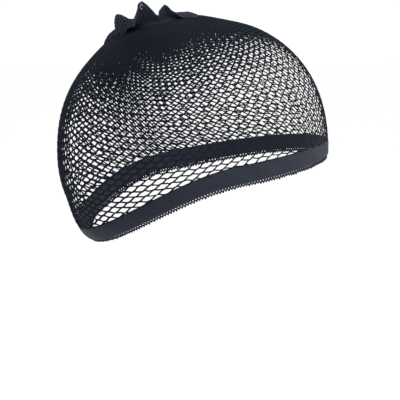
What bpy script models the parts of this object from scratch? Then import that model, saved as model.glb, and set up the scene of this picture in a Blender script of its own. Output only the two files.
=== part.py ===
# Mesh wig cap: a stocking net crown, gathered shut near the top under a ruffle, on a knitted elastic band.
# Metres, +Z up. The wearer faces -Y and the wearer's right is -X.
# The origin is the middle of the band's loop, where the head goes in.
import bpy
import bmesh
from math import cos, exp, pi, radians, sin, sqrt
from mathutils import Vector

# The head that gives the cap its worn form: an egg with squarish shoulders, measured from its centre.
HALF_WIDTH = 0.0740
REACH_FRONT = 0.0871
REACH_BACK = 0.0996
HEIGHT_ABOVE = 0.0893
HEIGHT_BELOW = 0.0795
SQUARENESS = 2.22
CENTRE_HEIGHT = 0.025

# Over the nape the cloth bunches and stands off the head.
NAPE_STAND_OFF = 0.0052
NAPE_TOP = -0.030
NAPE_BOTTOM = -0.056
NAPE_SPREAD = 0.050

# Round the gather the net is drawn together and tents up off the head.
GATHER_STAND_OFF = 0.0035
GATHER_SPREAD = 0.42

# Upper edge of the band: a tilt, plus a dip that grows towards the nape.
BAND_EDGE_AT_EAR = -0.0065
BAND_TILT = 0.17
BAND_NAPE_DIP = 4.0
BAND_WIDTH = 0.0122
BAND_FRONT_TAPER = 0.0020
BAND_NAPE_TAPER = 0.0010
BAND_WALL = 0.0015
BAND_CROWN = 0.0004
BAND_STEPS = 96
BAND_ROWS = 3

# The net crown. Polar angles are measured from the gather's axis, which leans back.
GATHER_LEAN = radians(21.0)
GATHER_AXIS = Vector((0, sin(GATHER_LEAN), cos(GATHER_LEAN)))
NET_WALL = 0.0012
COLUMNS = 20
GAP_ROWS = 6
NET_TOP = 0.47
NET_WEB = 0.0052
SMALLEST_GAP = 0.0022
ZIGZAG = 0.13
HEM = 0.0032
JOINT_GAP = 0.00035
PLEAT_POLARS = (0.035, 0.10, 0.17, 0.26, 0.36)
PLEAT_DEPTH = 0.0008
CROWDING_TOP = 0.08
CROWDING_BAND = 0.34

# The ruffle stands on a ring round the gather. Each crest of its free edge has a turn from the
# front towards the wearer's right, a reach from the gather's axis and a rise off the head.
# The fall is the rise of the fold after that crest, where the edge drops and spreads further out.
CRESTS = (
    {"turn": -8, "reach": 0.0195, "rise": 0.0066, "fall": 0.0053},
    {"turn": 28, "reach": 0.0190, "rise": 0.0078, "fall": 0.0058},
    {"turn": 75, "reach": 0.0155, "rise": 0.0142, "fall": 0.0060},
    {"turn": 119, "reach": 0.0170, "rise": 0.0240, "fall": 0.0128},
    {"turn": 166, "reach": 0.0190, "rise": 0.0165, "fall": 0.0052},
    {"turn": 204, "reach": 0.0275, "rise": 0.0080, "fall": 0.0049},
    {"turn": 240, "reach": 0.0185, "rise": 0.0102, "fall": 0.0058},
    {"turn": 276, "reach": 0.0180, "rise": 0.0120, "fall": 0.0060},
    {"turn": 313, "reach": 0.0190, "rise": 0.0070, "fall": 0.0058},
)
RUFFLE_RING = 0.0135
RUFFLE_FALL_SPREAD = 0.0045
RUFFLE_WALL = 0.0012
RUFFLE_SEAT = 0.0023
RUFFLE_STEPS = 144
RUFFLE_ROWS = 5

MERGE = 0.00002


def reach_to_head(direction):
    """Distance from the head's centre to its surface along a unit direction."""
    half_length = REACH_FRONT if direction.y < 0 else REACH_BACK
    half_height = HEIGHT_ABOVE if direction.z > 0 else HEIGHT_BELOW
    total = (
        abs(direction.x / HALF_WIDTH) ** SQUARENESS
        + abs(direction.y / half_length) ** SQUARENESS
        + abs(direction.z / half_height) ** SQUARENESS
    )
    return total ** (-1 / SQUARENESS)


def nape_lift(point):
    """How far the cloth stands off the head at a point low on the back."""
    if point.y < 0:
        return 0.0
    down = min(max((NAPE_TOP - point.z) / (NAPE_TOP - NAPE_BOTTOM), 0.0), 1.0)
    smooth = down * down * (3 - 2 * down)
    return NAPE_STAND_OFF * smooth * exp(-((point.x / NAPE_SPREAD) ** 2))


def gather_lift(direction):
    """How far the net tents up off the head near the gather."""
    polar = direction.angle(GATHER_AXIS)
    return GATHER_STAND_OFF * exp(-((polar / GATHER_SPREAD) ** 4))


def on_head(direction, lift=0.0):
    """Point on the worn form, in the head centre's frame, raised by lift."""
    point = direction * reach_to_head(direction)
    return point + direction * (nape_lift(point) + gather_lift(direction) + lift)


def about_gather(polar, turn):
    """Unit direction at a polar angle from the gather's axis; turn 0 faces the front."""
    front = Vector((0, -GATHER_AXIS.z, GATHER_AXIS.y))
    right = Vector((-1, 0, 0))
    around = front * cos(turn) + right * sin(turn)
    return GATHER_AXIS * cos(polar) + around * sin(polar)


def about_vertical(height_angle, turn):
    """Unit direction at an angle above the level; turn 0 faces the front."""
    level = Vector((-sin(turn), -cos(turn), 0))
    return level * cos(height_angle) + Vector((0, 0, sin(height_angle)))


def band_edge_height(y, drop=0.0):
    """Height of the line that lies a distance drop below the band's upper edge."""
    back = max(y, 0.0)
    slope = BAND_TILT + 2 * BAND_NAPE_DIP * back
    edge = BAND_EDGE_AT_EAR - BAND_TILT * y - BAND_NAPE_DIP * back * back
    return edge - drop * sqrt(1 + slope * slope)


def solve(is_above, low, high, steps=30):
    """Value between low and high where is_above turns from true to false."""
    for _ in range(steps):
        middle = (low + high) / 2
        if is_above(middle):
            low = middle
        else:
            high = middle
    return (low + high) / 2


def band_point(turn, drop, lift):
    """Point on the form at a turn about the vertical, a distance below the band's upper edge."""
    def is_above(down_angle):
        point = on_head(about_vertical(-down_angle, turn))
        return point.z > band_edge_height(point.y, drop)
    down_angle = solve(is_above, radians(-40), radians(70))
    return on_head(about_vertical(-down_angle, turn), lift)


def hem_polar(turn, drop):
    """Polar angle from the gather at which the net meets a line beside the band's edge."""
    def is_above(polar):
        point = on_head(about_gather(polar, turn))
        return point.z > band_edge_height(point.y, drop)
    return solve(is_above, 0.3, pi)


def make_tube(segments, rows):
    """A bmesh tube of quads, with each vertex's column and ring in two integer layers."""
    mesh = bmesh.new()
    bmesh.ops.create_cone(mesh, cap_ends=False, segments=segments, radius1=1, radius2=1, depth=1)
    upright = [e for e in mesh.edges if abs(e.verts[0].co.z - e.verts[1].co.z) > 0.5]
    if rows > 1:
        bmesh.ops.subdivide_edges(mesh, edges=upright, cuts=rows - 1, use_grid_fill=True)
    column = mesh.verts.layers.int.new("column")
    ring = mesh.verts.layers.int.new("ring")
    mesh.verts.ensure_lookup_table()
    for vert in mesh.verts:
        angle = Vector((vert.co.x, vert.co.y)).angle_signed(Vector((1, 0)))
        vert[column] = round(angle / (2 * pi) * segments) % segments
        vert[ring] = round((0.5 - vert.co.z) * rows)
    return mesh, column, ring


def finish(mesh, name, wall, material, smooth_angle):
    """Faces the open sheet outwards, gives it its wall on the inner side, and links it."""
    bmesh.ops.remove_doubles(mesh, verts=mesh.verts, dist=MERGE)
    bmesh.ops.recalc_face_normals(mesh, faces=mesh.faces)
    centre = Vector((0, 0, CENTRE_HEIGHT))
    facing = sum((f.calc_center_median() - centre).dot(f.normal) * f.calc_area() for f in mesh.faces)
    if facing < 0:
        bmesh.ops.reverse_faces(mesh, faces=mesh.faces)
    data = bpy.data.meshes.new(name)
    mesh.to_mesh(data)
    mesh.free()
    data.materials.append(material)
    data.shade_smooth()
    data.set_sharp_from_angle(angle=smooth_angle)
    part = bpy.data.objects.new(name, data)
    CAP.objects.link(part)
    thick = part.modifiers.new("Wall", "SOLIDIFY")
    thick.thickness = wall
    thick.offset = -1
    return part


def make_material(name, colour, roughness):
    material = bpy.data.materials.new(name)
    material.use_nodes = True
    shader = material.node_tree.nodes["Principled BSDF"]
    shader.inputs["Base Color"].default_value = (*colour, 1)
    shader.inputs["Roughness"].default_value = roughness
    shader.inputs["Metallic"].default_value = 0.0
    return material


def net_place(column, level):
    """Polar angle and turn on the net; level is 0 at its top row and 1 at its hem."""
    even = 2 * pi * column / (2 * COLUMNS)
    crowding = CROWDING_TOP + (CROWDING_BAND - CROWDING_TOP) * min(level, 1.0)
    turn = even + crowding * sin(even)
    foot = hem_polar(turn, -HEM - JOINT_GAP)
    return NET_TOP + (foot - NET_TOP) * level, turn


def net_point(column, ring):
    """Place of a net vertex: pleated rings first, then the rows of gaps, then the hem."""
    pleats = len(PLEAT_POLARS)
    fold = PLEAT_DEPTH * (1 if column % 2 else -1)
    if ring < pleats:
        polar = PLEAT_POLARS[ring]
        _, turn = net_place(column, 0.0)
        depth = fold * min(1.0, polar / PLEAT_POLARS[1]) * (1 - polar / NET_TOP)
        return on_head(about_gather(polar, turn), depth)
    row = ring - pleats
    if row > GAP_ROWS:
        _, turn = net_place(column, 1.0)
        return on_head(about_gather(hem_polar(turn, -JOINT_GAP), turn))
    level = row / GAP_ROWS
    if 0 < row < GAP_ROWS:
        has_bar_below = (column + row) % 2 == 0
        level += (ZIGZAG if has_bar_below else -ZIGZAG) / GAP_ROWS
    return on_head(about_gather(*net_place(column, level)))


def make_net_crown(material):
    """The net: a brick pattern of cells drawn into hexagons, with the gaps cut through."""
    pleats = len(PLEAT_POLARS)
    rings = pleats + GAP_ROWS + 1
    mesh, column, ring = make_tube(2 * COLUMNS, rings)
    spare = []
    for edge in mesh.edges:
        upper = min(edge.verts, key=lambda v: v[ring])
        lower = max(edge.verts, key=lambda v: v[ring])
        row = upper[ring] - pleats
        if upper[ring] < lower[ring] and 0 <= row < GAP_ROWS and (upper[column] + row) % 2:
            spare.append(edge)
    bmesh.ops.dissolve_edges(mesh, edges=spare, use_verts=False)
    for vert in mesh.verts:
        vert.co = net_point(vert[column], vert[ring]) + Vector((0, 0, CENTRE_HEIGHT))
    cells = [f for f in mesh.faces if len(f.verts) == 6]
    for cell in cells:
        cut_gap(mesh, cell)
    rim = [e for e in mesh.edges if e.is_boundary and all(v[ring] == 0 for v in e.verts)]
    centre = bmesh.ops.edgeloop_fill(mesh, edges=rim)["faces"]
    bmesh.ops.poke(mesh, faces=centre)
    return finish(mesh, "net_crown", NET_WALL, material, radians(40))


def cut_gap(mesh, cell):
    """Insets one cell by half a web on every side and takes its middle out, if it is wide enough."""
    middle = cell.calc_center_median()
    corners = [v.co for v in cell.verts]
    narrowest = 2 * NET_WEB + SMALLEST_GAP
    for index, corner in enumerate(corners):
        along = (corners[(index + 1) % 6] - corner).normalized()
        away = (middle - corner) - along * (middle - corner).dot(along)
        narrowest = min(narrowest, 2 * away.length)
    if narrowest < NET_WEB + SMALLEST_GAP:
        return
    bmesh.ops.inset_individual(mesh, faces=[cell], thickness=0)
    moves = [corner_move(cell, index) for index in range(6)]
    for vert, move in zip(cell.verts, moves):
        vert.co += move
    bmesh.ops.delete(mesh, geom=[cell], context="FACES_ONLY")


def corner_move(cell, index):
    """Move of one corner that carries both of its sides inwards by half a web."""
    corners = [v.co for v in cell.verts]
    corner = corners[index]
    side_in = (corner - corners[index - 1]).normalized()
    side_out = (corners[(index + 1) % 6] - corner).normalized()
    inward_a = cell.normal.cross(side_in).normalized()
    inward_b = cell.normal.cross(side_out).normalized()
    return (inward_a + inward_b) * (NET_WEB / 2) / (1 + inward_a.dot(inward_b))


def make_elastic_band(material):
    """The knitted band: a strip round the head, slightly fuller along its middle."""
    mesh, column, ring = make_tube(BAND_STEPS, BAND_ROWS)
    for vert in mesh.verts:
        across = vert[ring] / BAND_ROWS
        fullness = BAND_CROWN * (1 - (2 * across - 1) ** 2)
        turn = 2 * pi * vert[column] / BAND_STEPS
        taper = BAND_FRONT_TAPER if cos(turn) > 0 else BAND_NAPE_TAPER
        width = BAND_WIDTH - taper * cos(turn) ** 2
        point = band_point(turn, across * width, fullness)
        vert.co = point + Vector((0, 0, CENTRE_HEIGHT))
    return finish(mesh, "elastic_band", BAND_WALL, material, radians(40))


def frill(turn):
    """Reach and rise of the ruffle's free edge at a turn given in degrees."""
    start = CRESTS[0]["turn"]
    turn = (turn - start) % 360 + start
    ahead = CRESTS[1:] + ({**CRESTS[0], "turn": start + 360},)
    crest, following = next(p for p in zip(CRESTS, ahead) if turn <= p[1]["turn"])
    along = (turn - crest["turn"]) / (following["turn"] - crest["turn"])
    nearest = crest if along < 0.5 else following
    share = 0.5 + 0.5 * cos(2 * pi * along)
    fall_reach = (crest["reach"] + following["reach"]) / 2 + RUFFLE_FALL_SPREAD
    reach = fall_reach + share * (nearest["reach"] - fall_reach)
    rise = crest["fall"] + share * (nearest["rise"] - crest["fall"])
    return reach, rise


def make_crown_ruffle(material):
    """The ruffle: the net's free end, standing up round the gather in uneven folds."""
    mesh, column, ring = make_tube(RUFFLE_STEPS, RUFFLE_ROWS)
    crown = reach_to_head(GATHER_AXIS)
    for vert in mesh.verts:
        turn = 360 * vert[column] / RUFFLE_STEPS
        reach, rise = frill(turn)
        up = 1 - vert[ring] / RUFFLE_ROWS
        away = RUFFLE_RING + (reach - RUFFLE_RING) * up
        direction = about_gather(away / crown, radians(turn))
        foot = GATHER_STAND_OFF + RUFFLE_SEAT
        lift = foot + (rise - foot) * up - gather_lift(direction)
        vert.co = on_head(direction, lift) + Vector((0, 0, CENTRE_HEIGHT))
    return finish(mesh, "crown_ruffle", RUFFLE_WALL, material, radians(50))


for old in list(bpy.data.objects):
    bpy.data.objects.remove(old)
CAP = bpy.data.collections.new("mesh_wig_cap")
bpy.context.scene.collection.children.link(CAP)

make_net_crown(make_material("net_yarn", (0.010, 0.012, 0.016), 0.75))
make_elastic_band(make_material("knitted_elastic", (0.018, 0.022, 0.032), 0.80))
make_crown_ruffle(make_material("ruffle_net", (0.009, 0.011, 0.015), 0.78))
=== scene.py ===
# %% [markdown]
# # Mesh wig cap
# A wig cap is a short stocking of open net. One end is sewn to a knitted elastic band, and the other end
# is drawn together near the top of the head, where its loose end stands up as a ruffle. This lesson dresses
# the imported solids of such a cap: the fine net, the gather, the ruffle, the band and its looped edge.
# Everything is in metres, Z points up, the wearer's face looks to -Y, and the origin is the middle of the
# band's loop.

# %% Load the solids
from math import pi, radians, sin, cos

import bmesh
import bpy
import numpy as np
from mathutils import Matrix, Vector


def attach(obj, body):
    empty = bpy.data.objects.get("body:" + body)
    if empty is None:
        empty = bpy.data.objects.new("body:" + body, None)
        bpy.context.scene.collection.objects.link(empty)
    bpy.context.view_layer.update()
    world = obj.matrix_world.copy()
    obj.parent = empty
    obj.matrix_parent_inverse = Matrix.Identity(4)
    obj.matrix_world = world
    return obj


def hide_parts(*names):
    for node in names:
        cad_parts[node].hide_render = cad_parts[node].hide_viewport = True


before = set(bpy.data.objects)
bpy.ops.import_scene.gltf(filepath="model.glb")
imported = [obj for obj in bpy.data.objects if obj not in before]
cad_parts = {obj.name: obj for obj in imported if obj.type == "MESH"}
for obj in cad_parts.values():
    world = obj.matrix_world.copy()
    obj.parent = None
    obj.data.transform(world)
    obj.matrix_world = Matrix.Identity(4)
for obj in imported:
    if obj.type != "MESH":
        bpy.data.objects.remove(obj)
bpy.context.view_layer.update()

# %% [markdown]
# ## The worn form
# The cap is limp and takes its form from the head inside it, so the pieces below all lie on one and the
# same form. The solids lie on it too, and their source gives these sizes. It is an egg with squarish
# shoulders: the sum of three powers, with a power a little above 2. Two gentle bumps are added, because the
# cloth bunches over the nape and tents up round the gather.

# %% The head form and the gather's axis
HALF_WIDTH = 0.0740
REACH_FRONT = 0.0871
REACH_BACK = 0.0996
HEIGHT_ABOVE = 0.0893
HEIGHT_BELOW = 0.0795
SQUARENESS = 2.22
CENTRE = np.array((0, 0, 0.025))
NAPE_STAND_OFF = 0.0052
NAPE_TOP, NAPE_BOTTOM, NAPE_SPREAD = -0.030, -0.056, 0.050
GATHER_STAND_OFF, GATHER_SPREAD = 0.0035, 0.42
GATHER_LEAN = radians(21)
AXIS = np.array((0, sin(GATHER_LEAN), cos(GATHER_LEAN)))
FRONT = np.array((0, -cos(GATHER_LEAN), sin(GATHER_LEAN)))
RIGHT = np.array((-1.0, 0, 0))


def direction(polar, turn):
    """Unit directions at a polar angle from the gather's axis; turn 0 faces the front."""
    polar, turn = np.broadcast_arrays(np.asarray(polar, float), np.asarray(turn, float))
    around = np.multiply.outer(np.cos(turn), FRONT) + np.multiply.outer(np.sin(turn), RIGHT)
    return np.cos(polar)[..., None] * AXIS + np.sin(polar)[..., None] * around


def gather_lift(way):
    """How far the net tents up off the head near the gather."""
    polar = np.arccos(np.clip(way @ AXIS, -1, 1))
    return GATHER_STAND_OFF * np.exp(-((polar / GATHER_SPREAD) ** 4))


def ease(share):
    """A share between 0 and 1 that starts and ends gently."""
    share = np.clip(share, 0, 1)
    return share * share * (3 - 2 * share)


def on_head(way, lift=0.0):
    """Points on the worn form from the head's centre along unit directions, raised by lift."""
    length = np.where(way[..., 1] < 0, REACH_FRONT, REACH_BACK)
    height = np.where(way[..., 2] > 0, HEIGHT_ABOVE, HEIGHT_BELOW)
    total = (
        np.abs(way[..., 0] / HALF_WIDTH) ** SQUARENESS
        + np.abs(way[..., 1] / length) ** SQUARENESS
        + np.abs(way[..., 2] / height) ** SQUARENESS
    )
    point = way * (total ** (-1 / SQUARENESS))[..., None]
    bunch = ease((NAPE_TOP - point[..., 2]) / (NAPE_TOP - NAPE_BOTTOM))
    bunch = bunch * np.exp(-((point[..., 0] / NAPE_SPREAD) ** 2))
    nape = np.where(point[..., 1] < 0, 0.0, NAPE_STAND_OFF * bunch)
    return point + way * (nape + gather_lift(way) + lift)[..., None]


print("worn form:", round(REACH_FRONT + REACH_BACK, 3), "m long and", round(2 * HALF_WIDTH, 3), "m wide")

# %% [markdown]
# The upper edge of the band is one gentle curve on that form. It falls evenly from front to back, and faster
# past the ears. The net ends there, so the polar angle at which each of its columns meets the curve is
# needed. The form has no short formula for it, so the angle is found by halving an interval many times.

# %% The band's upper edge, and where the net meets it
BAND_EDGE_AT_EAR, BAND_TILT, BAND_NAPE_DIP = -0.0065, 0.17, 4.0
HALVINGS = 32
HEM_BETWEEN = (0.3, pi)


def edge_height(y, drop=0.0):
    """Height of the line that lies a distance drop below the band's upper edge."""
    back = np.maximum(y, 0.0)
    slope = BAND_TILT + 2 * BAND_NAPE_DIP * back
    edge = BAND_EDGE_AT_EAR - BAND_TILT * y - BAND_NAPE_DIP * back * back
    return edge - drop * np.sqrt(1 + slope * slope)


def above_line(way, drop=0.0):
    """Whether the form lies above the line that is a distance drop below the band's upper edge."""
    point = on_head(way)
    return point[..., 2] > edge_height(point[..., 1], drop)


def halve(between, shape, test):
    """Numbers between two limits at which a test stops being true, found by halving."""
    low, high = np.full(shape, between[0]), np.full(shape, between[1])
    for _ in range(HALVINGS):
        middle = (low + high) / 2
        passed = test(middle)
        low, high = np.where(passed, middle, low), np.where(passed, high, middle)
    return (low + high) / 2


def hem_polar(turn):
    """Polar angle from the gather at which each column of the net meets the band's upper edge."""
    return halve(HEM_BETWEEN, np.shape(turn), lambda polar: above_line(direction(polar, turn)))


print("net meets the band at", np.degrees(hem_polar(np.radians([0.0, 90.0, 180.0]))).round(1), "degrees")

# %% [markdown]
# ## Helpers for modelling by hand
# Each cloth starts as an open tube: a cylinder primitive without its ends, whose upright edges are
# subdivided into rings. A tube has no poles, its columns run down the cap and its rings run round it, so
# any vertex is named by a column and a ring. The helpers below select in code what a hand would click.

# %% Tubes, selections and places


def start_tube(name, columns, rows):
    """An open cylinder with evenly cut rings, left in object mode."""
    bpy.ops.object.select_all(action="DESELECT")
    bpy.ops.mesh.primitive_cylinder_add(vertices=columns, radius=1, depth=1, end_fill_type="NOTHING")
    tube = bpy.context.object
    tube.name = tube.data.name = name
    pick_edges(tube, lambda a, b: abs(a.z - b.z) > 0.5)
    bpy.ops.mesh.subdivide(number_cuts=rows - 1)
    bpy.ops.object.mode_set(mode="OBJECT")
    return tube


def pick_edges(tube, wanted):
    """Enters edit mode and selects the edges whose two ends pass a test."""
    bpy.ops.object.mode_set(mode="EDIT")
    bpy.ops.mesh.select_mode(type="EDGE")
    bpy.ops.mesh.select_all(action="DESELECT")
    mesh = bmesh.from_edit_mesh(tube.data)
    for edge in mesh.edges:
        edge.select_set(wanted(edge.verts[0].co, edge.verts[1].co))
    bmesh.update_edit_mesh(tube.data)


def points_of(piece):
    """The vertices of a piece as rows of x, y, z."""
    flat = np.empty(3 * len(piece.data.vertices))
    piece.data.vertices.foreach_get("co", flat)
    return flat.reshape(-1, 3)


def columns_and_rings(tube, columns, rows):
    """Which column and ring each vertex of a fresh tube belongs to."""
    points = points_of(tube)
    column = np.round(np.arctan2(points[:, 0], points[:, 1]) / (2 * pi) * columns).astype(int) % columns
    ring = np.round((0.5 - points[:, 2]) * rows).astype(int)
    return column, ring


def agree_normals():
    """Makes the faces of the active piece agree on which side is out."""
    bpy.ops.object.mode_set(mode="EDIT")
    bpy.ops.mesh.select_all(action="SELECT")
    bpy.ops.mesh.normals_make_consistent(inside=False)
    bpy.ops.object.mode_set(mode="OBJECT")


def move_to(piece, points):
    """Puts the vertices of the active piece at new places and faces the surface outwards."""
    piece.data.vertices.foreach_set("co", np.asarray(points, float).ravel())
    piece.data.update()
    agree_normals()
    centres = np.array([f.center for f in piece.data.polygons]) - CENTRE
    normals = np.array([f.normal * f.area for f in piece.data.polygons])
    if (centres * normals).sum() < 0:
        piece.data.flip_normals()

# %% [markdown]
# ## The fine net
# The real net is knitted in rows, each a row of hexagons set half a cell off from the last. Two threads run
# together in the short bar between two cells, so a bar is thicker than the single leaning threads. Near the
# gather the rows lie almost on top of each other, and they open as the net spreads over the head. Towards
# the nape the columns crowd together.
#
# A brick pattern gives this layout. The tube gets four columns for each cell, and the upright edges inside
# a cell are dissolved. Every other column then has only points halfway along the leaning threads, where the
# thread is at its thinnest. A Wireframe modifier later turns every edge into thread.

# %% Lay out the brick pattern of cells
CELLS_ROUND = 93
NET_COLUMNS = 4 * CELLS_ROUND
FIRST_ROW, LAST_ROW = -24, 74
NET_ROWS = LAST_ROW - FIRST_ROW + 1


def open_cells(tube, columns, rows):
    """Dissolves the upright edges inside each cell, which leaves cells laid like bricks."""

    def inside_a_cell(a, b):
        if abs(a.z - b.z) < 0.5 / rows:
            return False
        column = round(float(np.arctan2(a.x, a.y)) / (2 * pi) * columns) % columns
        ring = round((0.5 - max(a.z, b.z)) * rows)
        return column % 2 == 1 or (column // 2 + ring) % 2 == 1

    pick_edges(tube, inside_a_cell)
    bpy.ops.mesh.dissolve_edges(use_verts=False)
    bpy.ops.object.mode_set(mode="OBJECT")


net = start_tube("net_crown_fine", NET_COLUMNS, NET_ROWS)
net_column, net_ring = columns_and_rings(net, NET_COLUMNS, NET_ROWS)
open_cells(net, NET_COLUMNS, NET_ROWS)
print(len(net.data.polygons), "cells before the net is cut at the band")

# %% [markdown]
# The cells are then spread over the head. On the side that is seen, the polar angle of a row grows slowly at
# first and then evenly, which is what a soft step does, and a cosine of the turn tilts each row. The cap was
# pulled on with a twist, so the columns wind round the head as they go down, and the tilt is lowest left of
# the face instead of straight ahead. A second cosine and sine flatten the rows over the head's longer sides.
# These numbers were fitted to the rows and columns that can be followed in the photo.

# %% Spread the rows and columns over the seen side
ROWS_IN_STEP = 20
TWIST_FROM, TWIST_EASE = -1.2, 0.15
TWIST, TWIST_WAVE = 0.511, 0.080
TILT, TILT_GROWTH, TILT_EASE = 0.099, 0.326, 0.0009
POLAR_AT_TOP, POLAR_GROWTH, POLAR_FROM, POLAR_EASE = 0.111, 0.662, 0.301, 0.741
TILT_TURN, LONG_SIDES = 0.739, 0.061


def soft_step(value, start, width):
    """Near zero before a start, and an even rise after it, with a bend of some width between."""
    return np.log1p(np.exp((value - start) / width))


def twist_below(row):
    """How far below the start of the twist a row lies."""
    return TWIST_EASE * soft_step(row / ROWS_IN_STEP, TWIST_FROM, TWIST_EASE)


def twisted_turn(row, around):
    """Turn of an even angle round the net, where the twist has grown with the row."""
    return around + twist_below(row) * (TWIST + TWIST_WAVE * np.sin(2 * around))


def seen_angles(row, around):
    """Polar angle and turn of a place on the net, as the seen side shows them."""
    step = row / ROWS_IN_STEP
    tilt = TILT + TILT_GROWTH * step
    tilt = (tilt + np.sqrt(tilt * tilt + TILT_EASE)) / 2
    polar = POLAR_AT_TOP + POLAR_GROWTH * soft_step(step, POLAR_FROM, POLAR_EASE)
    polar = polar + tilt * np.cos(around + TILT_TURN) - LONG_SIDES * twist_below(row) * np.cos(2 * around)
    return polar, twisted_turn(row, around)


wound = float(np.degrees(twisted_turn(LAST_ROW, 0.0)))
print("columns wind by", round(wound, 1), "degrees down to the last row")

# %% [markdown]
# The other side isn't seen. If the same sums were used there, the twist would shear the cells until they
# closed, so rows and columns run evenly there, between the two ends of the seen side. All round the head,
# the middle rows stand a little further apart, and the band holds the last rows a little closer.

# %% Let the unseen side run evenly
FAR_SIDE, FAR_BLEND = (radians(205), radians(372)), 0.40
OPEN_FROM, OPEN_OVER, OPENED = 0.80, 0.20, 0.08
HELD_FROM, HELD_OVER, HELD = 1.27, 0.30, 0.25


def untwisted(row, turn):
    """The even angle whose place on a row has a given turn."""
    return halve((turn - 2 * pi, turn + 1.0), np.shape(row), lambda around: twisted_turn(row, around) < turn)


def ramp(past, over):
    """Zero before a place, then a rise that is even once a stretch is over."""
    past = np.clip(past, 0, None)
    return np.where(past < over, past * past / (2 * over), past - over / 2)


def net_angles(row, around):
    """Polar angle and turn of a place on the net; around is the even angle of its column."""
    polar, turn = seen_angles(row, around)
    start, end = untwisted(row, FAR_SIDE[0]), untwisted(row, FAR_SIDE[1])
    share = ((around - start) % (2 * pi)) / (end - start)
    unseen = ease(np.minimum(share, 1 - share) / FAR_BLEND)
    first, last = seen_angles(row, start)[0], seen_angles(row, end)[0]
    even_turn = FAR_SIDE[0] + share * (FAR_SIDE[1] - FAR_SIDE[0])
    turns_off = (even_turn - turn + pi) % (2 * pi) - pi
    polar = polar + unseen * (first + share * (last - first) - polar)
    polar = polar + OPENED * ramp(polar - OPEN_FROM, OPEN_OVER) - HELD * ramp(polar - HELD_FROM, HELD_OVER)
    return polar, turn + unseen * turns_off


row_30 = net_angles(np.full(3, 30.0), np.array([0.0, pi / 2, pi]))[0]
print("row 30 of the net lies at", np.degrees(row_30).round(1), "degrees from the gather's axis")

# %% [markdown]
# Each crossing is pulled towards its bar, which turns the bricks into hexagons, and the bars lean a little,
# because the net was pulled on askew. The cells at the nape are flatter, so the pull is weaker there. A very
# small uneven shift keeps the net from looking ruled. Beyond the band's edge the net runs on a little under
# the band, closer to the head, and cells that lie wholly under it are cut away later.

# %% Put the cells in place
LEAN = 0.32
UNEVEN = 0.045
ZIGZAG, ZIGZAG_MORE = 0.095, 0.105
ZIGZAG_FROM, ZIGZAG_OVER = 0.5, 0.75
SEAM_DEPTH, TUCK = 0.0018, 0.0006
QUIET = np.random.default_rng(7)


def bar_side(column, ring):
    """1 where a crossing has its bar below it, -1 where above, and 0 halfway along a leaning thread."""
    return np.where(column % 2 == 0, np.where((column // 2 + ring) % 2, -1, 1), 0)


def from_the_back(turn):
    """How far a turn is from straight back, in radians."""
    return np.abs(turn % (2 * pi) - pi)


def net_places(column, ring):
    """Places of the net's vertices on the head, and which of them lie under the band."""
    pull = bar_side(column, ring)
    uneven = QUIET.normal(0, UNEVEN, (2, len(column)))
    around = 2 * pi * (column - LEAN * pull + uneven[0]) / NET_COLUMNS
    row = ring + FIRST_ROW - 0.5 + uneven[1]
    to_front = np.clip((from_the_back(net_angles(row, around)[1]) - ZIGZAG_FROM) / ZIGZAG_OVER, 0, 1)
    polar, turn = net_angles(row + (ZIGZAG + ZIGZAG_MORE * to_front) * pull, around)
    below = np.clip((polar - hem_polar(turn)) * REACH_BACK / SEAM_DEPTH, 0, 1)
    return on_head(direction(polar, turn), -TUCK * below) + CENTRE, below >= 1


net_points, under_band = net_places(net_column, net_ring)
move_to(net, net_points)
covered = np.array([all(under_band[list(f.vertices)]) for f in net.data.polygons])
print("cells left:", (~covered).sum())

# %% [markdown]
# The thread has its full width at the crossings and is thinner between them. It is wider over the nape and
# high on the front, and it grows towards the gather, where the yarn is slack and fluffy. It never takes more
# than a set share of its cell's width and height, which keeps the cells open. In the slack rows by the gather
# that share is larger, so the cells there nearly close. A vertex group holds the width at every vertex, and
# the Wireframe modifier reads it.

# %% Work out the width of the thread
THREAD, THICKEST, THINNEST = 0.00153, 0.00260, 0.1
PLAIN_WIDTH, BETWEEN_CROSSINGS = 0.85, 0.70
NAPE_WIDER, NAPE_FROM, NAPE_OVER, NAPE_POWER = 0.50, 1.48, 1.3, 1.5
FRONT_WIDER, FRONT_FROM, FRONT_OVER = 0.25, 1.79, 0.5
FRONT_BELOW, FRONT_FADE = 1.15, 0.3
GROWTH, GROWS_ABOVE = 1.2, 1.02
SLACK_ABOVE, SLACK_SWAY, SLACK_OVER = 0.63, 0.05, 0.24
OF_WIDTH, OF_WIDTH_SLACK = 0.46, 0.34
OF_HEIGHT, OF_HEIGHT_SLACK = 0.70, 0.45


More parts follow.
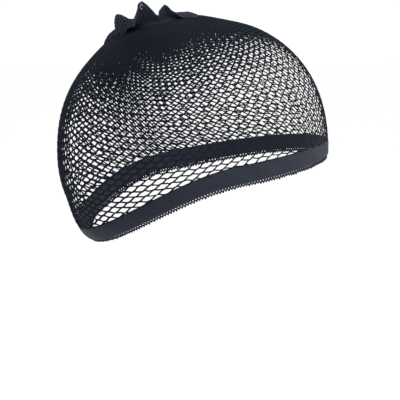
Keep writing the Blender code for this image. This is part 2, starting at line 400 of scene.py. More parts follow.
def thread_widths(column, ring):
    """How wide the thread of the net is at each vertex, in metres."""
    around = 2 * pi * column / NET_COLUMNS
    row = ring + FIRST_ROW - 0.5
    polar, turn = net_angles(row, around)
    here = on_head(direction(polar, turn))
    beside = on_head(direction(*net_angles(row, around + 2 * pi / CELLS_ROUND)))
    above = on_head(direction(*net_angles(row - 1.0, around)))
    cell_width = np.linalg.norm(beside - here, axis=1)
    cell_height = np.linalg.norm(above - here, axis=1)
    slack = np.clip((SLACK_ABOVE - SLACK_SWAY * np.cos(turn) - polar) / SLACK_OVER, 0, 1)
    from_back = from_the_back(turn)
    wider = NAPE_WIDER * np.clip((NAPE_FROM - from_back) / NAPE_OVER, 0, 1) ** NAPE_POWER
    in_front = np.clip((from_back - FRONT_FROM) / FRONT_OVER, 0, 1)
    wider = wider + FRONT_WIDER * in_front * np.clip((FRONT_BELOW - polar) / FRONT_FADE, 0, 1)
    thread = THREAD * (PLAIN_WIDTH + wider) * np.exp(GROWTH * np.clip(GROWS_ABOVE - polar, 0, None))
    thread = np.where(column % 2 == 0, 1.0, BETWEEN_CROSSINGS) * thread
    thread = np.minimum(thread, (OF_WIDTH + OF_WIDTH_SLACK * slack) * cell_width)
    return np.minimum(thread, (OF_HEIGHT + OF_HEIGHT_SLACK * slack) * cell_height)


net_thread = thread_widths(net_column, net_ring)
print("the middle width of the thread is", round(1000 * float(np.median(net_thread[~under_band])), 2), "mm")

# %% Turn the edges into thread, and cut away what the band covers


def make_thread(piece, thickness, widths):
    """Turns the edges of a piece into thread of the given widths, which a vertex group holds."""
    group = piece.vertex_groups.new(name="fullness")
    weights = np.clip((widths / thickness - THINNEST) / (1 - THINNEST), 0, 1)
    for index, weight in enumerate(weights):
        group.add([index], float(weight), "REPLACE")
    wire = piece.modifiers.new("Thread", "WIREFRAME")
    wire.thickness = thickness
    wire.offset = 0.0
    wire.use_boundary = True
    wire.use_even_offset = False
    wire.use_replace = True
    wire.vertex_group = "fullness"
    wire.thickness_vertex_group = THINNEST


def activate(piece):
    """Deselects everything else and makes one piece the active one."""
    bpy.ops.object.select_all(action="DESELECT")
    piece.select_set(True)
    bpy.context.view_layer.objects.active = piece


def pick_faces(piece, wanted):
    """Enters edit mode with the marked faces of a piece selected."""
    activate(piece)
    bpy.ops.object.mode_set(mode="EDIT")
    bpy.ops.mesh.select_mode(type="FACE")
    bpy.ops.mesh.select_all(action="DESELECT")
    bpy.ops.object.mode_set(mode="OBJECT")
    piece.data.polygons.foreach_set("select", wanted)
    bpy.ops.object.mode_set(mode="EDIT")


make_thread(net, THICKEST, net_thread)
pick_faces(net, covered)
bpy.ops.mesh.delete(type="FACE")
bpy.ops.object.mode_set(mode="OBJECT")
print(len(net.data.polygons), "cells to be threaded")

# %% [markdown]
# The rows nearest the gather become a piece of their own before the modifier makes the thread, which keeps
# each mesh at a handy size. They lie so close that the cloth looks whole there.

# %% Take off the close rows
CLOSE_POLAR = 0.56
places = np.array([f.center for f in net.data.polygons]) - CENTRE
places /= np.linalg.norm(places, axis=1)[:, None]
pick_faces(net, places @ AXIS > cos(CLOSE_POLAR))
bpy.ops.mesh.separate(type="SELECTED")
bpy.ops.object.mode_set(mode="OBJECT")
close_net = next(o for o in bpy.context.selected_objects if o != net)
close_net.name = close_net.data.name = "net_rows_by_gather"
print(len(close_net.data.polygons), "cells in the close rows and", len(net.data.polygons), "in the open net")

# %% [markdown]
# The Wireframe modifier makes thread that is as high as it is wide, but stretched yarn lies flatter. So the
# vertices of the finished thread are brought closer to the worn form, to six tenths of their distance.

# %% Press the yarn flat against the head
PRESSED = 0.62


def apply_all(piece):
    """Applies every modifier of a piece, in order."""
    activate(piece)
    for modifier in list(piece.modifiers):
        bpy.ops.object.modifier_apply(modifier=modifier.name)


def triangles(piece):
    """How many triangles a piece has."""
    return sum(len(f.vertices) - 2 for f in piece.data.polygons)


def press_flat(piece):
    """Brings the vertices of a piece closer to the worn form, as stretched yarn lies flatter than wide."""
    points = points_of(piece) - CENTRE
    away = np.linalg.norm(points, axis=1)
    way = points / away[:, None]
    surface = np.linalg.norm(on_head(way), axis=1)
    pressed = way * (surface + PRESSED * (away - surface))[:, None] + CENTRE
    piece.data.vertices.foreach_set("co", pressed.ravel())
    piece.data.update()


for part in (net, close_net):
    apply_all(part)
    press_flat(part)
print("fine net:", triangles(net), "and", triangles(close_net), "triangles")

# %% [markdown]
# ## The gather
# Under the ruffle the net's rows lie against each other, and the cloth is drawn into pleats that run to one
# point. Single threads can't be told apart there, so the gather is a thin closed sheet. Its columns are
# raised and lowered by sines of unlike counts, which gives pleats of uneven depth, and the pleats sink
# towards the point where the drawn end is knotted.

# %% Fold the gather into pleats
GATHER_COLUMNS, GATHER_ROWS = 288, 16
GATHER_EDGE, GATHER_END, GATHER_CROWDING = 0.40, 0.022, 1.15
PLEAT_SHIFT, PLEAT_FADE, PLEAT_SUM = 1.7, 0.45, 1.9
PLEAT_DEPTH, PLEAT_DEEPER, PLEAT_REACH, PLEAT_END = 0.0003, 0.0008, 0.17, 0.08
GATHER_SINK, KNOT_SINK, KNOT_REACH = 0.0007, 0.0016, 0.06
PLEAT_COUNTS = (31, 43, 19)

gather = start_tube("gathered_centre", GATHER_COLUMNS, GATHER_ROWS)
gather_column, gather_ring = columns_and_rings(gather, GATHER_COLUMNS, GATHER_ROWS)
gather_turn = 2 * pi * gather_column / GATHER_COLUMNS
gather_polar = GATHER_END + (GATHER_EDGE - GATHER_END) * (gather_ring / GATHER_ROWS) ** GATHER_CROWDING


def pleats(turn, counts):
    """A wave round the gather, about -1 to 1 high, mixed from a few counts of pleats."""
    waves = (np.sin(n * turn + PLEAT_SHIFT * i) / (1 + PLEAT_FADE * i) for i, n in enumerate(counts))
    return sum(waves) / PLEAT_SUM


depth = PLEAT_DEPTH + PLEAT_DEEPER * np.exp(-((gather_polar / PLEAT_REACH) ** 2))
rise = depth * pleats(gather_turn, PLEAT_COUNTS) * np.minimum(gather_polar / PLEAT_END, 1)
sink = -GATHER_SINK - KNOT_SINK * np.exp(-((gather_polar / KNOT_REACH) ** 2))
move_to(gather, on_head(direction(gather_polar, gather_turn), rise + sink) + CENTRE)
print("pleats rise and fall by up to", round(1000 * float(np.abs(rise).max()), 2), "mm")

# %% Close the gather at its centre and give it a wall
GATHER_WALL = 0.0008


def close_top(piece, column_count):
    """Closes the small hole at the top of a tube with a fan of faces round one point."""
    activate(piece)
    points = points_of(piece) - CENTRE
    away = np.linalg.norm(np.cross(points, AXIS), axis=1)
    order = np.argsort(away)[:column_count]
    bpy.ops.object.mode_set(mode="EDIT")
    bpy.ops.mesh.select_mode(type="VERT")
    bpy.ops.mesh.select_all(action="DESELECT")
    mesh = bmesh.from_edit_mesh(piece.data)
    mesh.verts.ensure_lookup_table()
    for index in order:
        mesh.verts[index].select = True
    mesh.select_flush(True)
    bpy.ops.mesh.edge_face_add()
    bpy.ops.mesh.poke()
    bpy.ops.object.mode_set(mode="OBJECT")


def add_wall(piece, thickness):
    """Gives an open sheet its thickness, on the inner side."""
    wall = piece.modifiers.new("Wall", "SOLIDIFY")
    wall.thickness = thickness
    wall.offset = -1
    wall.use_even_offset = False


close_top(gather, GATHER_COLUMNS)
add_wall(gather, GATHER_WALL)
apply_all(gather)
gather.data.shade_smooth()
print("gather:", triangles(gather), "triangles")

# %% [markdown]
# ## The ruffle
# Beyond the knot the loose end of the net stands up round the gather in nine soft folds. The solids hold the
# same folds. Each line of the table is the crest of one fold. It gives the turn that the crest points to, its
# reach from the gather's axis and its rise off the head, and then the reach and rise of the dip between this
# crest and the next. The column "open" is the share of the height that is a single layer of net, which lets
# light through. The column "turned" says how far the rim curls down to the net again, as it does where the
# folds lie over. The column "front" is a power: the larger it is, the faster the fold falls off towards the
# crest before it. Towards the crest after it, every fold is fuller and ends steeply.

# %% The folds of the ruffle
CRESTS = np.array(
    [
        (-8, 0.0290, 0.0046, 0.0270, 0.0042, 0.04, 1.0, 1.2),
        (28, 0.0290, 0.0044, 0.0230, 0.0048, 0.04, 0.9, 1.2),
        (75, 0.0157, 0.0137, 0.0165, 0.0085, 0.05, 0.0, 1.2),
        (119, 0.0172, 0.0206, 0.0232, 0.0112, 0.34, 0.0, 1.2),
        (166, 0.0262, 0.0162, 0.0268, 0.0072, 0.05, 1.0, 2.0),
        (204, 0.0355, 0.0056, 0.0330, 0.0050, 0.04, 1.0, 1.2),
        (240, 0.0220, 0.0098, 0.0220, 0.0065, 0.05, 0.4, 1.2),
        (276, 0.0185, 0.0118, 0.0205, 0.0064, 0.05, 0.0, 1.2),
        (313, 0.0205, 0.0074, 0.0240, 0.0052, 0.05, 0.4, 1.2),
    ],
    dtype=[(c, float) for c in ("turn", "reach", "rise", "fall_reach", "fall", "open", "turned", "front")],
)
LEAST_OPEN = 0.04
STEEPER_BACK, BACK_FULLNESS = 0.10, 0.40


def frill(turn):
    """Reach, rise, open share and turned-down share of the ruffle, at turns in degrees."""
    start = CRESTS["turn"][0]
    turn = (turn - start) % 360 + start
    crest = np.searchsorted(CRESTS["turn"], turn, side="right") - 1
    after = (crest + 1) % len(CRESTS)
    along = (turn - CRESTS["turn"][crest]) / ((CRESTS["turn"][after] - CRESTS["turn"][crest]) % 360)
    along = along + STEEPER_BACK * np.sin(pi * along) / pi
    nearest = np.where(along < 0.5, crest, after)
    power = np.where(along < 0.5, BACK_FULLNESS, CRESTS["front"][after])
    height = (0.5 + 0.5 * np.cos(2 * pi * along)) ** power

    def from_dip(dip, column):
        return dip + height * (CRESTS[column][nearest] - dip)

    reach = from_dip(CRESTS["fall_reach"][crest], "reach")
    rise = from_dip(CRESTS["fall"][crest], "rise")
    turned = from_dip((CRESTS["turned"][crest] + CRESTS["turned"][after]) / 2, "turned")
    return reach, rise, from_dip(LEAST_OPEN, "open"), turned


rises = frill(np.arange(360.0))[1]
print("highest fold:", round(1000 * rises.max(), 1), "mm at turn", rises.argmax())

# %% [markdown]
# The free edge follows that table, and the cloth between it and the foot is a straight flare with a slight
# belly. Where a fold is turned down, it climbs in an arch and comes back to the net. At its foot the cloth
# spreads in a small fillet, so that it seems to grow out of the gather, and small ripples run over the folds.

# %% Raise the cloth from its foot to the folds
RUFFLE_RING = 0.0135
RUFFLE_SEAT = -0.0002
FILLET, FILLET_SHARE = 0.0045, 0.10
BELLY, RIM_OFF, RIDGE = 0.0006, 0.0003, 1.36
OUT_RIPPLES, UP_RIPPLES = (27, 41, 17), (23, 34, 53)
RIPPLES_APART, RIPPLE_UP = 0.4, 0.6
CROWN = on_head(AXIS[None, :])[0] @ AXIS - GATHER_STAND_OFF


def ruffle_places(turn, up, inward, ripple):
    """Places on the ruffle; up goes from 0 at its foot to 1 at the free edge."""
    reach, rise, _, turned = frill(np.degrees(turn))
    reach = reach - inward + ripple * pleats(turn, OUT_RIPPLES) * up
    rise = rise + RIPPLE_UP * ripple * pleats(turn + RIPPLES_APART, UP_RIPPLES) * up
    away = RUFFLE_RING - inward + (reach - RUFFLE_RING + inward) * up
    away = away + FILLET * np.exp(-up / FILLET_SHARE) + BELLY * np.sin(pi * up)
    way = direction(away / CROWN, turn)
    net_lift = gather_lift(way)
    foot = GATHER_STAND_OFF + RUFFLE_SEAT
    climb = (1 - turned) * up + turned * np.sin(pi * up**RIDGE)
    lift = foot + turned * up * (net_lift + RIM_OFF - foot) + (rise - foot - inward * turned) * climb
    return on_head(way, lift - net_lift) + CENTRE


print("the foot of the ruffle is a ring", round(2000 * RUFFLE_RING), "mm wide")

# %% [markdown]
# The ruffle is the same net, but slack, so it has small dark cells in the same layout of bricks. The rows lie
# closer towards the free edge, where they make a firm hem. The thread grows with the cell, because the slack
# net shows as much yarn near the foot as at the rim.

# %% Knit the ruffle's net
RUFFLE_CELLS, RUFFLE_ROWS = 92, 12
RUFFLE_COLUMNS = 4 * RUFFLE_CELLS
RUFFLE_THREAD, THREAD_PER_CELL, RUFFLE_BETWEEN = 0.0017, 0.93, 0.6
RUFFLE_ZIGZAG, HEM_CLOSENESS = 0.22, 1.35
RUFFLE_RIPPLE = 0.0005

ruffle = start_tube("crown_ruffle_net", RUFFLE_COLUMNS, RUFFLE_ROWS)
ruffle_column, ruffle_ring = columns_and_rings(ruffle, RUFFLE_COLUMNS, RUFFLE_ROWS)
open_cells(ruffle, RUFFLE_COLUMNS, RUFFLE_ROWS)
between = (ruffle_ring > 0) & (ruffle_ring < RUFFLE_ROWS)
shifted_ring = ruffle_ring + RUFFLE_ZIGZAG * bar_side(ruffle_column, ruffle_ring) * between
ruffle_up = 1 - (shifted_ring / RUFFLE_ROWS) ** HEM_CLOSENESS
ruffle_turn = 2 * pi * ruffle_column / RUFFLE_COLUMNS
move_to(ruffle, ruffle_places(ruffle_turn, ruffle_up, 0.0, RUFFLE_RIPPLE))
ruffle_cell = np.linalg.norm(np.cross(points_of(ruffle) - CENTRE, AXIS), axis=1) * 2 * pi / RUFFLE_CELLS
ruffle_yarn = np.where(ruffle_column % 2 == 0, 1.0, RUFFLE_BETWEEN) * THREAD_PER_CELL * ruffle_cell
make_thread(ruffle, RUFFLE_THREAD, ruffle_yarn)
apply_all(ruffle)
print("ruffle:", triangles(ruffle), "triangles")

# %% [markdown]
# The free end is doubled: it is turned in and runs back down to the gather. Seen through the small cells, the
# second layer is a whole dark cloth, so it is a plain thin sheet just inside the net. It ends a little below
# the rim, at an uneven height, so that light comes through only near the tips of the folds.

# %% Line the ruffle
LINING_COLUMNS, LINING_ROWS = 288, 10
LINING_END, LINING_UNEVEN, LINING_COUNTS = 0.7, 0.5, (53, 37, 71)
LINING_INSIDE, LINING_RIPPLE, LINING_WALL = 0.0009, 0.0004, 0.0006

lining = start_tube("crown_ruffle_lining", LINING_COLUMNS, LINING_ROWS)
lining_column, lining_ring = columns_and_rings(lining, LINING_COLUMNS, LINING_ROWS)
lining_turn = 2 * pi * lining_column / LINING_COLUMNS
uneven_end = LINING_END + LINING_UNEVEN * pleats(lining_turn, LINING_COUNTS)
lining_up = (1 - frill(np.degrees(lining_turn))[2] * uneven_end) * (1 - lining_ring / LINING_ROWS)
move_to(lining, ruffle_places(lining_turn, lining_up, LINING_INSIDE, LINING_RIPPLE))
add_wall(lining, LINING_WALL)
apply_all(lining)
lining.data.shade_smooth()
print("lining:", triangles(lining), "triangles")

# %% [markdown]
# ## The knitted elastic band
# The band is a strip about 12 mm wide that hugs the head. It is knitted lengthwise, so fine ribs run along
# it. Its edges are soft and rounded, and it is a little fuller along its middle. The strip is a tube on the
# form whose rings follow the ribs. A wall takes in the tucked edge of the net. The inner side is set smooth
# against the head, because ribs pushed inwards by the wall would cross each other.

# %% Shape the band
BAND_COLUMNS, BAND_ROWS = 360, 44
BAND_WIDTH, BAND_FRONT_TAPER, BAND_NAPE_TAPER = 0.0122, 0.0020, 0.0010
BAND_WALL, BAND_OFF_HEAD = 0.0014, 0.0002
BAND_FULLER, BAND_EDGE_FALL, EDGE_ROUNDNESS = 0.0004, 0.0007, 14
RIBS, RIB_DEPTH = 11, 0.00011
WAVE_DEPTH, LONG_WAVES, SHORT_WAVES, WAVE_SLANT = 0.00015, 9, 23, 5
FALL_BETWEEN = (radians(-40), radians(70))


def band_points(turn, drop, lift):
    """Points on the form at turns about the vertical, a distance below the band's upper edge."""
    level = np.stack((-np.sin(turn), -np.cos(turn), np.zeros_like(turn)), axis=-1)

    def way(fall):
        return level * np.cos(fall)[..., None] - np.sin(fall)[..., None] * np.array((0, 0, 1.0))

    fall = halve(FALL_BETWEEN, turn.shape, lambda fall: above_line(way(fall), drop))
    return on_head(way(fall), lift) + CENTRE


def band_width(turn):
    """The band is a little narrower at the front and at the nape, where it is stretched most."""
    return BAND_WIDTH - np.where(np.cos(turn) > 0, BAND_FRONT_TAPER, BAND_NAPE_TAPER) * np.cos(turn) ** 2


band = start_tube("elastic_band_knit", BAND_COLUMNS, BAND_ROWS)
band_column, band_ring = columns_and_rings(band, BAND_COLUMNS, BAND_ROWS)
band_turn = 2 * pi * band_column / BAND_COLUMNS
across = band_ring / BAND_ROWS
edge_fall = BAND_EDGE_FALL * np.abs(2 * across - 1) ** EDGE_ROUNDNESS
fuller = BAND_FULLER * (1 - (2 * across - 1) ** 2) - edge_fall
ribs = RIB_DEPTH * np.cos(2 * pi * RIBS * across)
waves = np.sin(LONG_WAVES * band_turn) + np.sin(SHORT_WAVES * band_turn + WAVE_SLANT * across)
band_drop = across * band_width(band_turn)
move_to(band, band_points(band_turn, band_drop, fuller + ribs + WAVE_DEPTH * waves + BAND_OFF_HEAD))
add_wall(band, BAND_WALL)
apply_all(band)
wall_points = points_of(band)
wall_points[len(band_turn):] = band_points(band_turn, band_drop, -BAND_WALL)
band.data.vertices.foreach_set("co", wall_points.ravel())
band.data.update()
band.data.shade_smooth()
print("band:", triangles(band), "triangles")

# %% [markdown]
# ## The looped edge
# The lower edge of the band is finished with small open loops of yarn, about 2 mm deep and 2.1 mm apart.
# One loop is modelled: a small circle is spun through half a turn and stretched to the loop's depth. Its
# points are then copied round the band, each copy turned to the edge at its place, as one joined mesh.

# %% Model one loop
LOOP_PITCH, LOOP_DEPTH, LOOP_HALF, LOOP_YARN = 0.0021, 0.0019, 0.00082, 0.00040
YARN_SIDES, LOOP_STEPS = 6, 9

bpy.ops.object.select_all(action="DESELECT")
bpy.ops.mesh.primitive_circle_add(vertices=YARN_SIDES, radius=LOOP_YARN, location=(LOOP_HALF, 0, 0))
loop = bpy.context.object
bpy.ops.object.transform_apply(location=True, rotation=True, scale=True)
bpy.ops.object.mode_set(mode="EDIT")
bpy.ops.mesh.select_all(action="SELECT")
bpy.ops.mesh.spin(steps=LOOP_STEPS, angle=pi, center=(0, 0, 0), axis=(0, 1, 0))
bpy.ops.object.mode_set(mode="OBJECT")
loop_points = points_of(loop)
loop_points[:, 2] = np.abs(loop_points[:, 2]) * LOOP_DEPTH / LOOP_HALF
loop_faces = np.array([list(f.vertices) for f in loop.data.polygons])
bpy.data.objects.remove(loop)
print("one loop has", len(loop_faces), "faces")

# %% Copy the loop along the band's lower edge
EDGE_POINTS, SMALL_TURN = 1441, 0.004
LOOP_TUCK, LOOP_HANG, LOOP_INWARD = 0.0003, 0.0010, 0.0006
LOOP_UNEVEN = 0.07


def at_edge(turn, lower):
    """Points just inside the band's lower edge, moved down by a distance."""
    return band_points(turn, band_width(turn) + lower, -LOOP_INWARD)


fine_turn = np.linspace(0, 2 * pi, EDGE_POINTS)
edge_line = band_points(fine_turn, band_width(fine_turn), 0.0)
run = np.concatenate(([0], np.cumsum(np.linalg.norm(np.diff(edge_line, axis=0), axis=1))))
LOOPS = round(run[-1] / LOOP_PITCH)
loop_turn = np.interp((np.arange(LOOPS) + 0.5) * run[-1] / LOOPS, run, fine_turn)
seat = at_edge(loop_turn, -LOOP_TUCK)
ahead = band_points(loop_turn + SMALL_TURN, band_width(loop_turn) - LOOP_TUCK, -LOOP_INWARD) - seat
hang = at_edge(loop_turn, LOOP_HANG) - seat
ahead /= np.linalg.norm(ahead, axis=1)[:, None]
hang -= ahead * (hang * ahead).sum(1)[:, None]
hang /= np.linalg.norm(hang, axis=1)[:, None]
out = np.cross(hang, ahead)
uneven = 1 + QUIET.normal(0, LOOP_UNEVEN, LOOPS)
spots = (
    seat[:, None]
    + loop_points[None, :, 0, None] * ahead[:, None]
    + loop_points[None, :, 1, None] * out[:, None]
    + loop_points[None, :, 2, None] * hang[:, None] * uneven[:, None, None]
)
faces = (loop_faces[None] + np.arange(LOOPS)[:, None, None] * len(loop_points)).reshape(-1, 4)
edge_mesh = bpy.data.meshes.new("band_picot_edge")
edge_mesh.from_pydata(spots.reshape(-1, 3).tolist(), [], faces.tolist())
picot = bpy.data.objects.new("band_picot_edge", edge_mesh)
bpy.context.scene.collection.objects.link(picot)
activate(picot)
agree_normals()
picot.data.shade_smooth()
print(LOOPS, "loops,", triangles(picot), "triangles, along", round(run[-1], 3), "m of edge")

# %% [markdown]
# ## Finishes
# All of the cap is one dull navy-black yarn, so the finishes differ in how the yarn lies, and the ruffle's
# finishes are painted paler, as painted light on its raised folds. One node group gives what they share:
# fine fibres that stand off the yarn, a slow change of shade from wear and washing, and a height for the
# fibres. A second group draws knit stitches from a piece's own UV map, where one unit is one stitch, and a
# painted shade for the hollows between them. Both put out values only, and the shader stays in each material.

# %% A group for spun yarn
FIBRE_SCALE, STRAND_SCALE, WEAR_SCALE = 3200, 900, 26
STRANDS_IN_SHADE, FIBRES_IN_FUZZ, FIBRES_IN_HEIGHT = 0.45, 0.6, 0.35


def new_group(name, vector, numbers):
    """An empty shader node group that takes one named vector and puts out named numbers."""
    group = bpy.data.node_groups.new(name, "ShaderNodeTree")
    group.interface.new_socket(name=vector, in_out="INPUT", socket_type="NodeSocketVector")
    for label in numbers:
        group.interface.new_socket(name=label, in_out="OUTPUT", socket_type="NodeSocketFloat")
    return group, group.nodes.new("NodeGroupInput"), group.nodes.new("NodeGroupOutput")


def math_node(tree, operation, first, second=None):
    """A Math node whose inputs are sockets or plain numbers."""
    node = tree.nodes.new("ShaderNodeMath")
    node.operation = operation
    for socket, value in zip(node.inputs, (first, second)):
        if isinstance(value, (int, float)):
            socket.default_value = value
        elif value is not None:
            tree.links.new(value, socket)
    return node.outputs[0]


def set_values(node, values):
    """Sets the named sockets of a node."""
    for label, value in values.items():
        node.inputs[label].default_value = value


def noise(tree, vector, scale, detail, roughness):
    """A noise texture's value on a vector socket."""
    node = tree.nodes.new("ShaderNodeTexNoise")
    set_values(node, {"Scale": scale, "Detail": detail, "Roughness": roughness})
    tree.links.new(vector, node.inputs["Vector"])
    return node.outputs["Fac"]


def mixed(tree, first, share, second):
    """A mix of two number sockets, where share is the part of the first."""
    part = math_node(tree, "MULTIPLY", first, share)
    return math_node(tree, "ADD", part, math_node(tree, "MULTIPLY", second, 1 - share))


def make_yarn_group():
    """Fibres and slow shade of spun yarn, from a position in metres."""
    group, given, out = new_group("spun_yarn", "Place", ("Shade", "Fuzz", "Height"))
    fibres = noise(group, given.outputs["Place"], FIBRE_SCALE, detail=3, roughness=0.65)
    strands = noise(group, given.outputs["Place"], STRAND_SCALE, detail=2, roughness=0.5)
    wear = noise(group, given.outputs["Place"], WEAR_SCALE, detail=2, roughness=0.5)
    group.links.new(mixed(group, strands, STRANDS_IN_SHADE, wear), out.inputs["Shade"])
    group.links.new(mixed(group, fibres, FIBRES_IN_FUZZ, strands), out.inputs["Fuzz"])
    group.links.new(mixed(group, fibres, FIBRES_IN_HEIGHT, strands), out.inputs["Height"])
    return group


YARN = make_yarn_group()
print("group", YARN.name, "has", len(YARN.nodes), "nodes")

# %% A group for knit stitches
V_SLANT = 0.9


def make_stitch_group():
    """Rows of V-shaped stitches and painted shade between them; one unit of the vector is one stitch across
    and one row along.
    """
    group, given, out = new_group("knit_stitches", "Stitches", ("Height", "Painted Shade"))
    parts = group.nodes.new("ShaderNodeSeparateXYZ")
    group.links.new(given.outputs["Stitches"], parts.inputs[0])
    folded = math_node(group, "PINGPONG", parts.outputs["Y"], 0.5)
    slanted = math_node(group, "ADD", parts.outputs["X"], math_node(group, "MULTIPLY", folded, V_SLANT))
    along = math_node(group, "SINE", math_node(group, "MULTIPLY", slanted, 2 * pi))
    side = math_node(group, "SINE", math_node(group, "MULTIPLY", folded, 2 * pi))
    raised = math_node(group, "ADD", math_node(group, "MULTIPLY", along, 0.5), 0.5)
    height = math_node(group, "MULTIPLY", raised, side)
    # Painted shade: the gap is high in the hollows between the stitches, and the finish darkens the colour
    # there.
    gap_painted_shade = math_node(group, "SUBTRACT", 1.0, height)
    group.links.new(height, out.inputs["Height"])
    group.links.new(gap_painted_shade, out.inputs["Painted Shade"])
    return group


STITCHES = make_stitch_group()
print("group", STITCHES.name, "has", len(STITCHES.nodes), "nodes")

# %% [markdown]
# A finish runs between two near shades of the yarn, and its fuzz makes it rough and gives it a fine relief.
# The open net is almost black. The ruffle and its lining are painted paler than the same yarn elsewhere, as
# painted light on the raised folds, and the band is the least dull. The gather, the lining and the band are
# whole cloths, so they also show stitches, counted on the piece's own UV map, with painted shade between
# them.

# %% Build a finish from the two groups
# The gap numbers set a painted shade in the hollows between knit stitches.
STITCH_HEIGHT, GAP_PAINTED_SHADE, GAP_PAINTED_SHADE_TINT = 0.00012, 0.45, (0.25, 0.25, 0.27, 1)
SHADES_FROM, SHADES_TO = 0.32, 0.68
FUZZ_ROUGHNESS = 0.2
RELIEF = 0.8
YARN_IOR, SHEEN_SHARE, SHEEN_ROUGHNESS = 1.45, 0.1, 0.5


def use_group(tree, group, vector):
    """Places a group in a material and feeds its first socket."""
    node = tree.nodes.new("ShaderNodeGroup")
    node.node_tree = group
    tree.links.new(vector, node.inputs[0])
    return node


def make_finish(name, dark, light, roughness, fuzz_depth, shine, stitches=None):
    """A yarn finish between two shades.

    The fuzz depth is the height of the fibres in metres, and shine sets the gloss and the faint sheen.
    Stitches gives how many stitches lie along and across the piece's UV map.
    """
    finish = bpy.data.materials.new(name)
    finish.use_nodes = True
    tree = finish.node_tree
    shader = tree.nodes["Principled BSDF"]
    place = tree.nodes.new("ShaderNodeTexCoord")
    yarn = use_group(tree, YARN, place.outputs["Object"])
    shades = tree.nodes.new("ShaderNodeValToRGB")
    for end, position, shade in zip(shades.color_ramp.elements, (SHADES_FROM, SHADES_TO), (dark, light)):
        end.position = position
        end.color = (*shade, 1)
    tree.links.new(yarn.outputs["Shade"], shades.inputs["Fac"])
    colour = shades.outputs["Color"]
    height = math_node(tree, "MULTIPLY", yarn.outputs["Height"], fuzz_depth)
    if stitches:
        spread = tree.nodes.new("ShaderNodeMapping")
        spread.inputs["Scale"].default_value = (*stitches, 1)
        tree.links.new(place.outputs["UV"], spread.inputs["Vector"])
        knit = use_group(tree, STITCHES, spread.outputs["Vector"])
        knit_height = math_node(tree, "MULTIPLY", knit.outputs["Height"], STITCH_HEIGHT)
        height = math_node(tree, "ADD", height, knit_height)
        # Painted shade: the colour is darkened in the hollows between the stitches.
        painted_shade_mix = tree.nodes.new("ShaderNodeMix")
        painted_shade_mix.data_type, painted_shade_mix.blend_type = "RGBA", "MULTIPLY"
        tree.links.new(math_node(tree, "MULTIPLY", knit.outputs["Painted Shade"], GAP_PAINTED_SHADE), painted_shade_mix.inputs["Factor"])
        tree.links.new(colour, painted_shade_mix.inputs[6])
        painted_shade_mix.inputs[7].default_value = GAP_PAINTED_SHADE_TINT
        colour = painted_shade_mix.outputs[2]
    tree.links.new(colour, shader.inputs["Base Color"])
    fuzz = math_node(tree, "MULTIPLY", yarn.outputs["Fuzz"], FUZZ_ROUGHNESS)
    rough = math_node(tree, "ADD", fuzz, roughness - FUZZ_ROUGHNESS / 2)
    tree.links.new(rough, shader.inputs["Roughness"])
    bump = tree.nodes.new("ShaderNodeBump")
    set_values(bump, {"Strength": RELIEF, "Distance": 1.0})
    tree.links.new(height, bump.inputs["Height"])
    tree.links.new(bump.outputs["Normal"], shader.inputs["Normal"])
    set_values(shader, {"Metallic": 0.0, "IOR": YARN_IOR, "Specular IOR Level": shine})
    set_values(shader, {"Sheen Weight": SHEEN_SHARE * shine, "Sheen Roughness": SHEEN_ROUGHNESS})
    return finish


# %% Make the six finishes
NET_YARN = make_finish(
    "fine_net_yarn", dark=(0.0035, 0.005, 0.009), light=(0.006, 0.0085, 0.014),
    roughness=0.75, fuzz_depth=0.00008, shine=0.06,
)
GATHER_YARN = make_finish(
    "gathered_net", dark=(0.004, 0.0055, 0.010), light=(0.007, 0.0095, 0.015),
    roughness=0.78, fuzz_depth=0.00012, shine=0.06, stitches=(150, 60),
)
# Painted light: the ruffle and its lining are paler shades of the net's yarn, for the light on the raised
# folds.
RUFFLE_YARN_PAINTED_LIGHT = make_finish(
    "ruffle_net_yarn_painted_light", dark=(0.014, 0.018, 0.026), light=(0.022, 0.028, 0.040),
    roughness=0.75, fuzz_depth=0.00010, shine=0.12,
)
LINING_YARN_PAINTED_LIGHT = make_finish(
    "ruffle_lining", dark=(0.012, 0.016, 0.023), light=(0.019, 0.024, 0.034),
    roughness=0.80, fuzz_depth=0.00012, shine=0.12, stitches=(170, 30),
)
BAND_KNIT = make_finish(
    "knitted_elastic_yarn", dark=(0.008, 0.011, 0.020), light=(0.016, 0.021, 0.034),
    roughness=0.72, fuzz_depth=0.00006, shine=0.2, stitches=(560, 11),
)
EDGE_YARN = make_finish(
    "looped_edge_yarn", dark=(0.006, 0.008, 0.015), light=(0.012, 0.016, 0.026),
    roughness=0.75, fuzz_depth=0.00006, shine=0.12,
)
band_uv = [max(corner.uv[i] for corner in band.data.uv_layers[0].data) for i in (0, 1)]
print("UV of the band runs to", [round(end, 2) for end in band_uv])

# %% [markdown]
# ## Put the pieces on the imported solids
# Each piece rides on the one body of the cap. The net, the ruffle and the band stand for their solids, which
# are hidden but stay in the scene. The net, the ruffle and the band stand for their solids, which stay for
# collision only. The other four are details with no solid of their own.

# %% Finish, ride and stand in
for piece, finish, slot in (
    (net, NET_YARN, "net_yarn"),
    (close_net, NET_YARN, "net_yarn"),
    (gather, GATHER_YARN, "net_yarn"),
    (ruffle, RUFFLE_YARN_PAINTED_LIGHT, "ruffle_net"),
    (lining, LINING_YARN_PAINTED_LIGHT, "ruffle_net"),
    (band, BAND_KNIT, "knitted_elastic"),
    (picot, EDGE_YARN, "knitted_elastic"),
):
    piece.data.materials.clear()
    piece.data.materials.append(finish)
    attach(piece, "root")
    print(piece.name, triangles(piece), "triangles")

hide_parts("net_crown")
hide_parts("crown_ruffle")
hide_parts("elastic_band")

# %% [markdown]
# The whole net was knitted as one tube, which lies about 0.32 m round when it is slack. A net is mostly
# holes, and the rows in the gather lie on each other. The looped edge is part of the band.

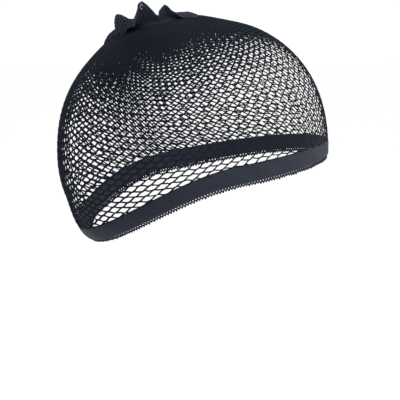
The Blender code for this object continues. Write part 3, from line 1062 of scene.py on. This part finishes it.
# %% [markdown]
# ## Stage, light and camera
# The cap stays up where the wearer's head would hold it, so a pale floor lies well below it. The light is
# that of a white studio: a bright surround, one large soft lamp in front, which lifts the front of the band,
# and a second one from above. The camera stands 1.3 m off on the wearer's right, a little behind and above.

# %% Floor
FLOOR_HEIGHT = -0.45

bpy.ops.object.select_all(action="DESELECT")
bpy.ops.mesh.primitive_plane_add(size=40, location=(0, 0, FLOOR_HEIGHT))
floor = bpy.context.object
floor.name = "studio_floor"
pale = bpy.data.materials.new("studio_floor")
pale.use_nodes = True
pale_shader = pale.node_tree.nodes["Principled BSDF"]
set_values(pale_shader, {"Base Color": (0.95, 0.95, 0.95, 1), "Roughness": 0.9, "Specular IOR Level": 0.1})
floor.data.materials.append(pale)

# %% Light
SURROUND = 1.05

scene = bpy.context.scene
scene.view_settings.view_transform = "Standard"
world = bpy.data.worlds.new("studio")
scene.world = world
world.use_nodes = True
set_values(world.node_tree.nodes["Background"], {"Color": (1, 1, 1, 1), "Strength": SURROUND})

centre = Vector(CENTRE.tolist())
for name, place, size, power in (
    ("front_lamp", (-0.9, -1.5, 0.9), 0.9, 38),
    ("top_lamp", (-0.4, 0.5, 1.7), 1.0, 22),
):
    lamp = bpy.data.objects.new(name, bpy.data.lights.new(name, "AREA"))
    lamp.data.shape, lamp.data.size, lamp.data.energy = "DISK", size, power
    lamp.location = place
    lamp.rotation_euler = (centre - Vector(place)).to_track_quat("-Z", "Y").to_euler()
    scene.collection.objects.link(lamp)
    print(name, "of", power, "W stands", round((centre - lamp.location).length, 2), "m away")

# %% Camera at the photo's angle
AZIMUTH, ELEVATION, AWAY = radians(250), radians(4), 1.3
FOCAL, SENSOR, PICTURE = 1884.0, 36, 400
ABOVE_MIDDLE, RIGHT_OF_MIDDLE = 50.9, 1.6

back = Vector((sin(AZIMUTH) * cos(ELEVATION), -cos(AZIMUTH) * cos(ELEVATION), sin(ELEVATION)))
across_view = Vector((0, 0, 1)).cross(back).normalized()
upward = back.cross(across_view)
camera = bpy.data.objects.new("camera", bpy.data.cameras.new("camera"))
scene.collection.objects.link(camera)
scene.camera = camera
camera.location = centre + back * AWAY
aim = centre - (upward * ABOVE_MIDDLE + across_view * RIGHT_OF_MIDDLE) * AWAY / FOCAL
camera.rotation_mode = "QUATERNION"
camera.rotation_quaternion = (aim - camera.location).to_track_quat("-Z", "Y")
camera.data.lens = FOCAL * SENSOR / PICTURE
camera.data.clip_start, camera.data.clip_end = 0.1, 100
print("camera at", [round(v, 3) for v in camera.location], "with a lens of", round(camera.data.lens), "mm")
